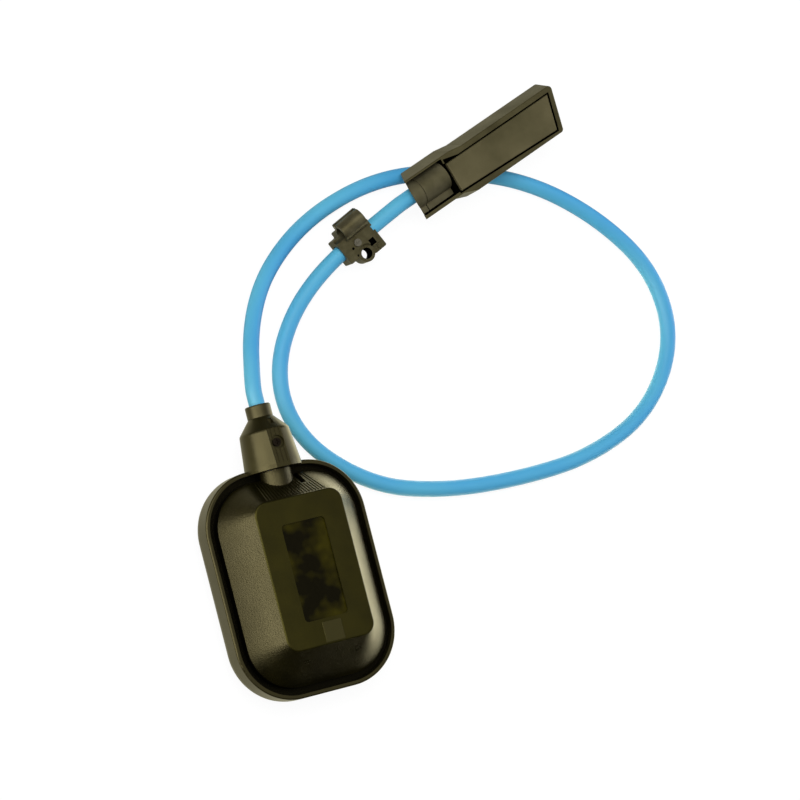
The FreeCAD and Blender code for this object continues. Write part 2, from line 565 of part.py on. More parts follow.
def make_tray():
    """Carrier in the tub: plate, inclined track between rails, posts for the lever and shelves with pegs."""
    tail = f"({STOP_Y} - stop_thick)"
    sunk = f"({TRACK_Z} - tray_thick / 4)"
    parts = [box("tray_plate", (f"-{TRAY_HALF}", tail, TRAY_Z),
                 (TRAY_HALF, f"{tail} + tray_length", TRACK_Z))]
    rail_end = f"({PIVOT_Y} - post_depth / 2)"
    track = new_body("tray_track")
    profile = polygon(new_sketch(track, "track_profile", "YZ_Plane"), [
        (STOP_Y, sunk), (PIVOT_Y, sunk),
        (PIVOT_Y, f"{TRACK_Z} + ({PIVOT_Y} - {STOP_Y}) * tan(track_slope * 1deg)"), (STOP_Y, TRACK_Z)])
    pad(track, profile, f"2 * {CHANNEL} + rail_thick", both_ways=True)
    parts.append(track)
    rail_z = f"{TRACK_Z} + rail_height"
    parts.append(box("tray_stop", (f"-{RAIL_OUT}", tail, sunk), (RAIL_OUT, STOP_Y, rail_z)))
    for side, low, high in (("left", f"-{RAIL_OUT}", f"-{CHANNEL}"), ("right", CHANNEL, RAIL_OUT)):
        parts.append(box(f"rail_{side}", (low, tail, sunk), (high, f"{rail_end} + rail_thick / 2", rail_z)))
        parts.append(box(f"post_{side}", (low, rail_end, sunk),
                         (high, f"{PIVOT_Y} + post_depth / 2", f"{PIVOT_Z} + post_top")))
    shelf_y = f"({CASE_Y} + shelf_set_back)"
    inner, outer = "(case_width / 2 - shelf_width)", "(case_width / 2)"
    for side, sign, low, high in (("left", -1, f"-{outer}", f"-{inner}"), ("right", 1, inner, outer)):
        parts.append(box(f"shelf_{side}", (low, shelf_y, sunk), (high, f"{shelf_y} + shelf_depth", CASE_Z)))
        peg = (f"{sign} * case_hole_pitch / 2", f"{CASE_Y} + case_hole_back", f"{CASE_Z} - peg_radius")
        parts.append(rod(f"peg_{side}", "peg_radius", peg, "peg_height + peg_radius"))
    holes = [rod("pivot_hole", "pin_radius + pin_clearance", (f"-{TRAY_HALF}", PIVOT_Y, PIVOT_Z),
                 f"2 * {TRAY_HALF}", ALONG_X)]
    for i, (x, y) in enumerate(tray_screw_places(), 1):
        holes.append(rod(f"tray_hole_{i}", "tray_screw_radius + fit_clearance",
                         (x, y, f"{TRAY_Z} - tray_thick"), "3 * tray_thick"))
    node("switch_tray", cut("switch_tray", fuse("tray_blank", *parts), *holes))

    screws = []
    for i, (x, y) in enumerate(tray_screw_places(), 1):
        head = rod(f"tray_head_{i}", "tray_screw_head", (x, y, TRACK_Z), "tray_head_height")
        shank = rod(f"tray_shank_{i}", "tray_screw_radius", (x, y, "floor_thick - tray_screw_bite"),
                    f"{TRACK_Z} - floor_thick + tray_screw_bite + tray_head_height / 4")
        groove = box(f"tray_slot_{i}", (f"{x} - tray_screw_head", f"{y} - recess_width / 2",
                                        f"{TRACK_Z} + tray_head_height / 2"),
                     (f"{x} + tray_screw_head", f"{y} + recess_width / 2",
                      f"{TRACK_Z} + 2 * tray_head_height"))
        screws.append(cut(f"tray_screw_{i}", fuse(f"tray_screw_blank_{i}", head, shank), groove))
    node("tray_screws", fuse("tray_screws", *screws))


def make_mechanism():
    """Ball, lever with its pin, and the snap switch with its plunger and terminals."""
    ball = doc.addObject("Part::Sphere", "steel_ball")
    bind(ball, "Radius", BALL_RADIUS)
    place(ball, ("0", BALL_Y, BALL_Z))
    node("steel_ball", ball)

    leaf = box("lever_leaf", (f"-{LEAF_HALF}", LEAF_Y, f"{PIVOT_Z} - leaf_drop"),
               (LEAF_HALF, f"{LEAF_Y} + leaf_thick", PIVOT_Z))
    eye = rod("lever_eye", "eye_radius", (f"-{LEAF_HALF}", PIVOT_Y, PIVOT_Z), f"2 * {LEAF_HALF}", ALONG_X)
    bore = rod("lever_hole", "pin_radius + pin_clearance", (f"-{TRAY_HALF}", PIVOT_Y, PIVOT_Z),
               f"2 * {TRAY_HALF}", ALONG_X)
    node("lever", cut("lever", fuse("lever_blank", leaf, eye), bore))
    reach = f"({RAIL_OUT} + pin_over)"
    pin = rod("lever_pin", "pin_radius", (f"-{reach}", PIVOT_Y, PIVOT_Z), f"2 * {reach}", ALONG_X)
    node("lever_pin", pin)

    tip_at = ("0", f"{TIP_Y} + plunger_radius", PLUNGER_Z)
    stem = rod("plunger_stem", "plunger_radius", tip_at, "plunger_length - plunger_radius", ALONG_Y)
    tip = doc.addObject("Part::Sphere", "plunger_tip")
    bind(tip, "Radius", "plunger_radius")
    place(tip, tip_at)
    node("plunger", fuse("plunger", stem, tip))

    case = box("case_block", ("-case_width / 2", CASE_Y, CASE_Z),
               ("case_width / 2", TERMINAL_Y, f"{CASE_Z} + case_height"))
    cuts = [rod("case_bore", "plunger_radius + plunger_clearance",
                ("0", f"{CASE_Y} - plunger_radius", PLUNGER_Z), "plunger_bore + plunger_radius", ALONG_Y)]
    for side, sign in (("left", -1), ("right", 1)):
        at = (f"{sign} * case_hole_pitch / 2", f"{CASE_Y} + case_hole_back", f"{CASE_Z} - case_height")
        cuts.append(rod(f"case_hole_{side}", "peg_radius + peg_clearance", at, "3 * case_height"))
    blades = []
    root = f"({TERMINAL_Y} - terminal_root)"
    end = f"({TERMINAL_Y} + terminal_length)"
    for i in (-1, 0, 1):
        x = f"{i} * terminal_pitch"
        half, tall = "terminal_thick / 2", "terminal_width / 2"
        blades.append(box(f"blade_{i + 2}", (f"{x} - {half}", root, f"{PLUNGER_Z} - {tall}"),
                          (f"{x} + {half}", end, f"{PLUNGER_Z} + {tall}")))
        half, tall = f"({half} + terminal_clearance)", f"({tall} + terminal_clearance)"
        cuts.append(box(f"blade_slot_{i + 2}", (f"{x} - {half}", root, f"{PLUNGER_Z} - {tall}"),
                        (f"{x} + {half}", end, f"{PLUNGER_Z} + {tall}")))
    node("switch_case", cut("switch_case", case, *cuts))
    node("switch_terminals", fuse("switch_terminals", *blades))


def make_cores():
    """The cord's three cores from its stripped end to the switch."""
    radius = value("core_diameter") / 2
    circle, height, start = value("core_circle"), value("rim_height"), value(CORD_Y)
    end, end_z = value(f"{TERMINAL_Y} + terminal_length"), value(PLUNGER_Z)
    straight, sweep, lead = value("core_straight"), value("core_sweep"), value("core_end")
    for colour, turn_deg, i in (("brown", 90, 0), ("blue", 210, -1), ("black", 330, 1)):
        x = circle * math.cos(math.radians(turn_deg))
        z = height + circle * math.sin(math.radians(turn_deg))
        x_end = i * value("terminal_pitch")
        points = [(x, start, z), (x, start - straight, z),
                  (0.35 * x_end + 0.65 * x, start - sweep, 0.5 * (z + end_z)),
                  (x_end, end + lead, end_z), (x_end, end, end_z)]
        node(f"core_{colour}", tube(f"core_{colour}", points, radius))


PLUG_POSE = FreeCAD.Placement(
    FreeCAD.Vector(value("plug_x"), value("plug_y"), value("cord_diameter + plug_lift")),
    FreeCAD.Rotation(value("plug_yaw"), -value("plug_pitch"), value("plug_roll")))
PLUG_WIDTH = "(plug_left + plug_right)"
PLUG_MID = "((plug_left - plug_right) / 2)"


def plug_far(across, inset="0"):
    """Where the slanted far end lies, at a distance across the connector."""
    return f"(plug_far_short + (({across}) + plug_right) * plug_slant / {PLUG_WIDTH} - ({inset}))"


def lid_outline(body, name, lift, grow="0"):
    """The lid's outline: a side that spreads toward the slanted far end."""
    near, far, left = (f"({size} + {grow})" for size in ("lid_right_near", "lid_right_far", "lid_left"))
    inset = f"lid_end_gap - ({grow})"
    return polygon(new_sketch(body, name, lift=lift), [
        (f"-lid_start - ({grow})", f"-{near}"), (plug_far(f"-{far}", inset), f"-{far}"),
        (plug_far(left, inset), left), (f"-lid_start - ({grow})", left)])


def outside_entry(obj):
    """Lays a box against the leaning end of the entry, over all that lies outside it."""
    for prop in ("Length", "Height"):
        bind(obj, prop, "plug_entry")
    bind(obj, "Width", f"2 * {PLUG_WIDTH}")
    lean = FreeCAD.Rotation(Y_AXIS, 180 - value("entry_lean"))
    obj.Placement = FreeCAD.Placement(FreeCAD.Vector(), lean)
    place(obj, ("-plug_entry", f"-{PLUG_WIDTH}", "plug_height"))
    return obj


def spigot_outline(body, name, lift, grow, radius):
    return rounded_rectangle(new_sketch(body, name, lift=lift), f"spigot_length + 2 * ({grow})",
                             f"spigot_width + 2 * ({grow})", radius, "spigot_centre", PLUG_MID)


def make_housing():
    """Connector housing: drafted walls, leaning entry, lid recess, trough for the cord, spigot below."""
    body = new_body("connector_housing")
    flare = "(plug_height * tan(plug_draft * 1deg))"
    left, right, mouth_left, mouth_right = (
        f"({size} + {flare})" for size in ("plug_left", "plug_right", "mouth_left", "mouth_right"))
    block = pad(body, polygon(new_sketch(body, "plug_outline"), [
        ("-plug_entry", f"-{mouth_right}"), ("-step_right_start", f"-{mouth_right}"),
        ("-step_right_end", f"-{right}"), (f"{plug_far(f'-{right}')} + {flare}", f"-{right}"),
        (f"{plug_far(left)} + {flare}", left), ("-step_left_end", left),
        ("-step_left_start", mouth_left), ("-plug_entry", mouth_left)]), "plug_height")
    doc.recompute()
    draft = body.newObject("PartDesign::Draft", "plug_sides")
    entry = -value("plug_entry")
    sides = [f"Face{i}" for i, face in enumerate(block.Shape.Faces, 1)
             if abs(face.normalAt(0, 0).z) < 0.1 and face.BoundBox.XMax > entry + 1]
    draft.Base = (block, sides)
    draft.NeutralPlane = (origin_plane(body, "XY_Plane"), [""])
    bind(draft, "Angle", "plug_draft")
    outside_entry(body.newObject("PartDesign::SubtractiveBox", "entry_lean"))
    far = value(plug_far("-plug_right")) - 1
    round_edges(body, "plug_corners", "plug_round",
                lambda edge: edge.BoundBox.XMin > far and edge.BoundBox.ZLength > 5)
    round_edges(body, "plug_edges", "plug_edge", is_level(value("plug_height")))

    pocket(body, lid_outline(body, "lid_recess", "plug_height", "lid_gap"), "lid_thick + lid_drop")
    room = lid_outline(body, "plug_room", "plug_height", "lid_gap - lid_ledge")
    pocket(body, room, "plug_height - plug_wall")
    trough_end = "(-lid_start - trough_wall)"
    slot(body, "trough", ("-2 * plug_entry", "-trough_right", "cord_height"),
         (trough_end, "trough_left", "2 * plug_height"))
    slot(body, "wall_gap", (trough_end, "-lid_right_near - lid_gap", "plug_height - wall_drop"),
         ("-lid_start", "lid_left + lid_gap", "2 * plug_height"))
    pry = polygon(new_sketch(body, "pry_notch", lift="plug_height"), [
        ("-lid_start - pry_back", "lid_left"),
        ("-lid_start - pry_back + pry_length", "lid_left + lid_gap / 2"),
        ("-lid_start - pry_back", "lid_left + pry_width")])
    pocket(body, pry, "pry_depth")
    hole(body, "entry_bore", BUSH_BORE, ("-2 * plug_entry", "0", "cord_height"),
         "2 * plug_entry - lid_start + 2 * lid_ledge", ALONG_X)
    spigot = spigot_outline(body, "spigot_outline", "-spigot_depth", "0", "spigot_round")
    pad(body, spigot, "spigot_depth + plug_wall / 2")
    hollow = spigot_outline(body, "spigot_hollow", "-spigot_depth", "-spigot_wall", "hollow_round")
    pocket(body, hollow, "spigot_depth + plug_wall", up=True)
    node("connector_housing", body, PLUG_POSE)


def make_lid_and_bridge():
    """The lid in its recess, and the half-round bridge that holds the cord in its trough."""
    lid = new_body("connector_lid")
    seat = "(plug_height - lid_thick - lid_drop)"
    pad(lid, lid_outline(lid, "lid_face", seat), "lid_thick")
    round_edges(lid, "lid_edges", "lid_edge", is_level(value(f"{seat} + lid_thick")))
    node("connector_lid", lid, PLUG_POSE)

    start, end = "(-plug_entry + bridge_inset)", "(-lid_start - trough_wall - bridge_gap)"
    length = f"{end} - {start}"
    arch = rod("bridge_arch", "bridge_radius", (start, "0", "cord_height"), length, ALONG_X)
    foot = box("bridge_foot", (start, "-trough_right + fit_clearance", "cord_height"),
               (end, "trough_left - fit_clearance", "cord_height + bridge_foot"))
    below = box("bridge_below", ("-2 * plug_entry", f"-{PLUG_WIDTH}", "-plug_height"),
                ("plug_entry", PLUG_WIDTH, "cord_height"))
    bore = rod("bridge_hole", BUSH_BORE, ("-2 * plug_entry", "0", "cord_height"), "2 * plug_entry", ALONG_X)
    line_start = f"{start} + bridge_line"
    outer = rod("line_outer", "2 * bridge_radius", (line_start, "0", "cord_height"), "line_width", ALONG_X)
    inner = rod("line_inner", "bridge_radius - line_width", (start, "0", "cord_height"), length, ALONG_X)
    line = cut("bridge_line_ring", outer, inner)
    entry_end = outside_entry(doc.addObject("Part::Box", "bridge_lean"))
    bridge = cut("clamp_bridge", fuse("bridge_blank", arch, foot), below, bore, line, entry_end)
    node("clamp_bridge", bridge, PLUG_POSE)


def make_contacts():
    """The block of sockets in the spigot, its seal, and the leads from the cord."""
    low, high = "(block_recess - spigot_depth)", "block_rise"
    half_long = "(spigot_length / 2 - spigot_wall - fit_clearance)"
    half_wide = "(spigot_width / 2 - spigot_wall - fit_clearance)"
    core = box("block_core", (f"spigot_centre - {half_long}", f"{PLUG_MID} - {half_wide}", low),
               (f"spigot_centre + {half_long}", f"{PLUG_MID} + {half_wide}", high))
    half_long, half_wide = f"({half_long} + block_lip)", f"({half_wide} + block_lip)"
    lip = box("block_lip", (f"spigot_centre - {half_long}", f"{PLUG_MID} - {half_wide}", "plug_wall"),
              (f"spigot_centre + {half_long}", f"{PLUG_MID} + {half_wide}", high))
    bores, sockets = [], []
    foot = f"({low} + socket_recess)"
    for i in (-1, 0, 1):
        x = f"spigot_centre + {i} * socket_pitch"
        bores.append(rod(f"block_bore_{i + 2}", "socket_radius + thread_clearance",
                         (x, PLUG_MID, f"{low} - spigot_depth"), "3 * spigot_depth"))
        barrel = rod(f"socket_barrel_{i + 2}", "socket_radius", (x, PLUG_MID, foot), f"socket_rise - {foot}")
        hollow = rod(f"socket_hollow_{i + 2}", "socket_bore", (x, PLUG_MID, foot),
                     f"socket_rise - {foot} - socket_cap")
        sockets.append(cut(f"socket_{i + 2}", barrel, hollow))
    node("contact_block", cut("contact_block", fuse("block_blank", core, lip), *bores), PLUG_POSE)
    node("contact_sockets", fuse("contact_sockets", *sockets), PLUG_POSE)

    ring = new_body("spigot_seal")
    under = "-ring_thick"
    outer = spigot_outline(ring, "ring_outer", under, "ring_width", "spigot_round + ring_width")
    pad(ring, outer, "ring_thick")
    inner = spigot_outline(ring, "ring_inner", under, "ring_clearance", "spigot_round + ring_clearance")
    pocket(ring, inner, "ring_thick", up=True)
    node("spigot_seal", ring, PLUG_POSE)

    radius, circle = value("core_diameter") / 2, value("core_circle")
    start, height = value("sheath_in - plug_entry + core_gap"), value("cord_height")
    middle, top = value(PLUG_MID), value("socket_rise")
    spread, ahead = value("lead_turn"), value("lead_ahead")
    high, low = value("lead_high"), value("lead_low")
    leads = (("brown", 90, 0, middle / 2, high), ("blue", 330, 1, value("lead_left"), low),
             ("black", 210, -1, -value("lead_right"), low))
    for colour, turn_deg, i, aside, level in leads:
        across = circle * math.cos(math.radians(turn_deg))
        up = height + circle * math.sin(math.radians(turn_deg))
        socket = value(f"spigot_centre + {i} * socket_pitch")
        points = [(start, across, up), (start + spread, aside, level), (socket - ahead, aside, level),
                  (socket, middle, level), (socket, middle, top)]
        node(f"lead_{colour}", tube(f"lead_{colour}", points, radius), PLUG_POSE)


def cord_points():
    """The whole route: it starts in the neck, and its last points lie on the connector's own cord line."""
    height = value("rim_height")
    first = [FreeCAD.Vector(0, value(y), height) for y in (CORD_Y, f"{COLLAR_Y} + exit_lead")]
    last = [PLUG_POSE.multVec(FreeCAD.Vector(value(x), 0, value("cord_height")))
            for x in ("-plug_entry - entry_lead", "sheath_in - plug_entry")]
    return first + [FreeCAD.Vector(*point) for point in ROUTE] + last


CLIP_HALF = f"({CORD_RADIUS} + clip_bore_gap + clip_wall)"
EYE_TOP = f"({CLIP_HALF} - crown_rise)"
HOOK_Z = f"({CLIP_HALF} + hook_lift)"
HINGE_Z = f"({HOOK_Z} - hinge_drop)"
CLIP_END = "(clip_ahead + clip_flange)"


def make_clip_base(pose):
    """Block on the cord: a plan with rounded corners, a raised crown, an eye and a half-round channel."""
    body = new_body("clip_base")
    plan = polygon(new_sketch(body, "clip_plan", lift=f"-{CLIP_HALF}"), [
        ("-clip_back", "-clip_right"), ("plate_start", "-clip_right"), ("plate_start", "-plate_out"),
        (CLIP_END, "-plate_out"), (CLIP_END, CLIP_HALF), ("shelf_ahead", CLIP_HALF),
        ("shelf_ahead", "shelf_out"), ("-shelf_back", "shelf_out"), ("-shelf_back", "ledge_out"),
        ("-clip_back", "ledge_out")])
    pad(body, plan, f"{CLIP_HALF} + {EYE_TOP}")
    crown = polygon(new_sketch(body, "crown_plan", lift=EYE_TOP), [
        ("-clip_back", "-clip_right"), ("clip_ahead", "-clip_right"), ("clip_ahead", CLIP_HALF),
        ("shelf_ahead", CLIP_HALF), ("shelf_ahead", "shelf_out"), ("-shelf_back", "shelf_out"),
        ("-shelf_back", "ledge_out"), ("-clip_back", "ledge_out")])
    pad(body, crown, "crown_rise")
    round_edges(body, "clip_corners", "clip_round", lambda edge: edge.BoundBox.ZLength > 5)

    eye = ("eye_along", "-eye_offset")
    boss(body, "clip_lobe", "eye_bore + eye_wall", (*eye, f"-{CLIP_HALF}"), f"{CLIP_HALF} + {EYE_TOP}")
    hole(body, "lobe_space", "eye_bore + eye_wall + eye_space", (*eye, EYE_TOP), CLIP_HALF)
    boss(body, "clip_stud", "stud_radius", ("stud_along", "-stud_out", f"{EYE_TOP} - stud_height"),
         "2 * stud_height")
    ears = (("-jaw_back", "-jaw_back + ear_length"), ("jaw_ahead - ear_length", "jaw_ahead"))
    for i, (low, high) in enumerate(ears, 1):
        lump(body, f"ear_root_{i}", (low, "shelf_out - knuckle_radius", f"{HINGE_Z} - knuckle_radius"),
             (high, "hinge_offset", f"{HINGE_Z} + knuckle_radius / 2"))
        boss(body, f"ear_{i}", "knuckle_radius", (low, "hinge_offset", HINGE_Z), "ear_length", ALONG_X)

    start, through = "-2 * clip_back", "4 * clip_back"
    hole(body, "clip_bore", f"{CORD_RADIUS} + clip_bore_gap", (start, "0", "0"), through, ALONG_X)
    hole(body, "clip_channel", "hook_radius", (start, "hook_offset", HOOK_Z), through, ALONG_X)
    hole(body, "clip_pin_hole", "clip_pin_radius + pin_clearance", (start, "hinge_offset", HINGE_Z), through,
         ALONG_X)
    hole(body, "clip_eye", "eye_bore", (*eye, f"-2 * {CLIP_HALF}"), f"4 * {CLIP_HALF}")
    hole(body, "clip_screw_hole", "clamp_screw_shank + thread_clearance",
         ("clamp_screw_along", "clamp_screw_aside", "0"), f"2 * {CLIP_HALF}")
    slot(body, "clip_slot", ("slot_start", "-slot_right", f"{CLIP_HALF} - slot_depth"),
         ("slot_end", "-slot_left", f"2 * {CLIP_HALF}"))
    for i in (0, 1):
        hole(body, f"clip_pip_{i + 1}", "pip_radius",
             ("pip_along", f"-pip_near - {i} * pip_pitch", f"{CLIP_HALF} - pip_depth"), CLIP_HALF)
    node("clip_base", body, pose)


def make_clip():
    """The clip: its block, a hinged jaw over the channel, the jaw's pin and the screw on the cord."""
    before, after = cord_points()[-3:-1]
    run = after - before
    middle = (before + after) * 0.5 + run * (value("clip_slide") / run.Length)
    pose = FreeCAD.Placement(middle, FreeCAD.Rotation(
        math.degrees(math.atan2(run.y, run.x)), -math.degrees(math.asin(run.z / run.Length)), 0))
    make_clip_base(pose)

    start, through = "-2 * clip_back", "4 * clip_back"
    inside = "(hook_radius + hook_gap)"
    outside = f"({inside} + hook_wall)"
    shell = rod("jaw_shell", outside, ("-jaw_back", "hook_offset", HOOK_Z), "jaw_ahead + jaw_back", ALONG_X)
    bore = rod("jaw_inside", inside, (start, "hook_offset", HOOK_Z), through, ALONG_X)
    under = box("jaw_under", (start, start, f"{HOOK_Z} - {outside}"),
                ("2 * clip_back", "2 * clip_back", HOOK_Z))
    hood = cut("jaw_hood", shell, bore, under)
    low, high = "(-jaw_back + ear_length + ear_gap)", "(jaw_ahead - ear_length - ear_gap)"
    knuckle = rod("jaw_knuckle", "knuckle_radius", (low, "hinge_offset", HINGE_Z), f"{high} - {low}", ALONG_X)
    arm = box("jaw_arm", (low, f"hook_offset + {inside} + hook_gap / 2", HINGE_Z),
              (high, f"hook_offset + {outside}", f"{HOOK_Z} + hook_wall / 2"))
    pin_hole = rod("jaw_pin_hole", "clip_pin_radius + pin_clearance", (start, "hinge_offset", HINGE_Z),
                   through, ALONG_X)
    node("clip_jaw", cut("clip_jaw", fuse("jaw_blank", hood, knuckle, arm), pin_hole), pose)

    shank = rod("pin_shank", "clip_pin_radius", ("-jaw_back", "hinge_offset", HINGE_Z),
                "jaw_ahead + jaw_back + pin_head_thick", ALONG_X)
    head = rod("pin_head", "pin_head_radius", ("jaw_ahead", "hinge_offset", HINGE_Z), "pin_head_thick",
               ALONG_X)
    node("clip_pin", fuse("clip_pin", shank, head), pose)

    foot = f"({CORD_RADIUS} + fit_clearance)"
    spot = ("clamp_screw_along", "clamp_screw_aside")
    shank = rod("clip_screw_shank", "clamp_screw_shank", (*spot, foot),
                f"{CLIP_HALF} - {foot} + clamp_screw_head / 2")
    head = rod("clip_screw_head", "clamp_screw_radius", (*spot, CLIP_HALF), "clamp_screw_head")
    groove = box("clip_screw_slot",
                 (start, "clamp_screw_aside - clamp_screw_slot / 2", f"{CLIP_HALF} + clamp_screw_head / 2"),
                 ("2 * clip_back", "clamp_screw_aside + clamp_screw_slot / 2", f"3 * {CLIP_HALF}"))
    node("clip_screw", cut("clip_screw", fuse("clip_screw_blank", shank, head), groove), pose)


make_body_shell()
make_cover_shell()
make_cover_seal()
make_neck_pieces()
make_tray()
make_mechanism()
make_cores()
make_housing()
make_lid_and_bridge()
make_contacts()
make_clip()
node("cord", tube("cord", cord_points(), value(CORD_RADIUS)))
doc.recompute()

os.makedirs("parts", exist_ok=True)
for item in doc.Objects:
    if "Invalid" in item.State or "Error" in item.State:
        raise RuntimeError(f"{item.Name} is {item.State}")
for label, obj in nodes.items():
    shape = obj.Shape
    if shape.isNull() or not shape.isValid() or not shape.Solids:
        raise RuntimeError(f"{label} has no valid solid")
    shape.exportStep(f"parts/{label}.step")
    box_now = shape.optimalBoundingBox()
    print(f"{label}: {len(shape.Solids)} solids, volume {shape.Volume:.1f}, "
          f"x {box_now.XMin:.2f} {box_now.XMax:.2f}, y {box_now.YMin:.2f} {box_now.YMax:.2f}, "
          f"z {box_now.ZMin:.2f} {box_now.ZMax:.2f}")
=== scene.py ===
import bpy
from mathutils import Matrix, Vector


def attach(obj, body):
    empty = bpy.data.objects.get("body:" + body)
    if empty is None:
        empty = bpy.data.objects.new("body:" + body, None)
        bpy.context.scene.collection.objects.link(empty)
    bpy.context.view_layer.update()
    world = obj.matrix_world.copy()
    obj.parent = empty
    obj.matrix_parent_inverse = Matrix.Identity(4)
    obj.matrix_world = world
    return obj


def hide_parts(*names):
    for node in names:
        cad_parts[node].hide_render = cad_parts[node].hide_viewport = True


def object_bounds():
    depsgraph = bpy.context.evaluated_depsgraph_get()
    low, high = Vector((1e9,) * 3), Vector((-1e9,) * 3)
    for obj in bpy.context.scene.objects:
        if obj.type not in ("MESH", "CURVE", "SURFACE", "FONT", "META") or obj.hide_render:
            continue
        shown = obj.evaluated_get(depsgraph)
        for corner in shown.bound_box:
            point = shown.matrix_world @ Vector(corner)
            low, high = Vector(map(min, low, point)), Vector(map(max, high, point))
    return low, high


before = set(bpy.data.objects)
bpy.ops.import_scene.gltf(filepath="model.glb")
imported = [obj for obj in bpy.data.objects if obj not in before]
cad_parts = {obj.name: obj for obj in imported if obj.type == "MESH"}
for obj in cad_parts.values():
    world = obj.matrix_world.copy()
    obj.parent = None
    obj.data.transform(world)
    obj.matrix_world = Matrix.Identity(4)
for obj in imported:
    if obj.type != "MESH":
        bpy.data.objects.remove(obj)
cad_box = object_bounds()
scene = bpy.context.scene
scene.view_settings.view_transform = "Standard"

# All lengths are in metres, and colours are linear red, green and blue.

# The picture's view: where it looks, from which side, and which way is up in it.
LOOK_AT = Vector((0.07516, 0.05881, 0.0205))
TOWARD_CAMERA = Vector((-0.430, -0.069, 0.900)).normalized()
PICTURE_UP = Vector((0.19790, 0.96561, 0.16856))
CAMERA_DISTANCE = 1.8
LENS_MM = 163.94
SENSOR_MM = 36

# The cord: its thickness, its length, where it leaves the neck, and the points that its line follows.
CORD_DIAMETER = 0.008
CORD_ROUTE = [
    (0, 0.047, 0.0205), (0, 0.073, 0.0205), (0, 0.081, 0.0205), (0.011, 0.1125, 0.012),
    (0.030, 0.1385, 0.0055), (0.0605, 0.160, 0.0041), (0.1015, 0.172, 0.0041),
    (0.143, 0.1685, 0.0041), (0.1845, 0.1555, 0.0041), (0.219, 0.1295, 0.0041),
    (0.2425, 0.0965, 0.0041), (0.2435, 0.059, 0.0041), (0.2185, 0.026, 0.0041),
    (0.179, 0.0105, 0.0041), (0.135, 0.008, 0.0041), (0.093, 0.011, 0.0041),
    (0.0555, 0.022, 0.0041), (0.023, 0.0525, 0.0041), (0.0205, 0.090, 0.0041),
    (0.049, 0.1275, 0.0055), (0.101496, 0.153816, 0.015573), (0.108958, 0.156680, 0.015922),
    (0.129477, 0.164556, 0.016882),
]
CORD_STEPS = 12
CORD_ROUNDING = 8

# Heights and places on the cover, by which its finish tells its flat top, window, tile and groove apart; the
# groove is painted near-black as shade.
FLAT_TOP = 0.039
FLAT_MARGIN = 0.0005
WINDOW_FLOOR = 0.0381
WINDOW_MARGIN = 0.0003
WINDOW_MIDDLE = -0.01285
WINDOW_HALF_WIDTH = 0.0115
WINDOW_HALF_LENGTH = 0.024
TILE_TOP = 0.03935
TILE_MARGIN = 0.0002
GROOVE_TOP = 0.0212

# The cover's slope at the neck, from a line at its foot to one at its top: half the line's width, its reach
# from the float's middle, and its height.
SLOPE = {
    "Foot Half": 0.014, "Foot Reach": 0.0353, "Foot Height": 0.0213,
    "Top Half": 0.017, "Top Reach": 0.0234, "Top Height": 0.039,
}
# The ribs on that slope: shares are of the way up it, and no rib crosses the latch slot or the bulge.
RIBS = {
    "Count": 20, "First": -0.01215, "Pitch": 0.00135, "Rib Radius": 0.0003,
    "Low Share": 0.08, "High Share": 0.93,
    "Slot Middle": 0.00945, "Slot Half": 0.0015, "Slot Share": 0.55,
    "Bulge Radius": 0.0082, "Bulge Axis": 0.0205,
}
RIB_SIDES = 8

# The connector's own frame, and the recess in its top that holds the lid and the bridge, where shade is
# painted.
PLUG_PLACE = Vector((0.15327, 0.17463, 0.01005))
PLUG_ALONG = Vector((0.932692, 0.358027, 0.043619))
PLUG_ACROSS = Vector((-0.360672, 0.926227, 0.109630))
PLUG_SLANT = 0.287
PLUG_TAPER = 0.0328
RECESS_DEPTH = (0.003, 0.0155)
RECESS_ENDS = (-0.0425, 0.0475)
RECESS_SIDES = (-0.01277, 0.0073)

# The clip's own frame, the slot in its top, and its eye and two small holes as along, across and radius;
# shade is painted in all of them.
CLIP_PLACE = Vector((0.078332, 0.142204, 0.011128))
CLIP_ALONG = Vector((0.881098, 0.441681, 0.169069))
CLIP_ACROSS = Vector((-0.448132, 0.893967, 0))
SLOT_TOP = 0.0054
SLOT_ENDS = (0.00315, 0.00645)
SLOT_SIDES = (-0.00685, -0.00335)
CLIP_HOLES = [(-0.001, -0.008, 0.00285), (-0.0054, -0.0018, 0.00065), (-0.0054, -0.0061, 0.00065)]

# Deep and pale colours of the cover and the sheath, and single colours of the smaller places.
SLOPE_COLOURS = (0.002, 0.0017, 0.0001), (0.006, 0.005, 0.0004)
FLAT_COLOURS = (0.002, 0.0017, 0.0002), (0.010, 0.0084, 0.0006)
WINDOW_COLOURS = (0.0003, 0.0003, 0.0001), (0.034, 0.029, 0.0012)
TILE_COLOUR = (0.024, 0.021, 0.009)
# The next two colours are painted shade: the near-black of the groove and of the connector's and the clip's
# hollows.
GROOVE_PAINTED_SHADE = (0.0005, 0.0005, 0.0003)
PAINTED_SHADE_COLOUR = (0.0012, 0.0011, 0.0006)
# The sheath's cyan is painted light on the side towards the lamps, and its azure painted shade on the side
# away from them.
SHEATH_LIT_CYAN = (0.105, 0.53, 0.80), (0.145, 0.61, 0.80)
SHEATH_SHADED_AZURE = (0.055, 0.36, 0.82), (0.085, 0.45, 0.82)

# The tint of reflections in the plastics and on the cover's flat top, and how strong plain ones are.
WARM_SHEEN = (1, 0.86, 0.42)
FLAT_SHEEN = (1, 0.88, 0.24)
PLAIN_SHINE = 0.5

# The floor: its size and paint, and the warm tint of the glow that only reflections see, a painted
# reflection. The camera sees a share of plain white, and for the rest the lit paint, which keeps the shadow.
FLOOR_HALF = 0.6
FLOOR_PAINT = (0.85, 0.85, 0.85)
FLOOR_ROUGHNESS = 0.9
FLOOR_REFLECTION_TINT = (1, 0.95, 0.66)
FLOOR_WHITE = 1.09
FLOOR_WHITE_SHARE = 0.85

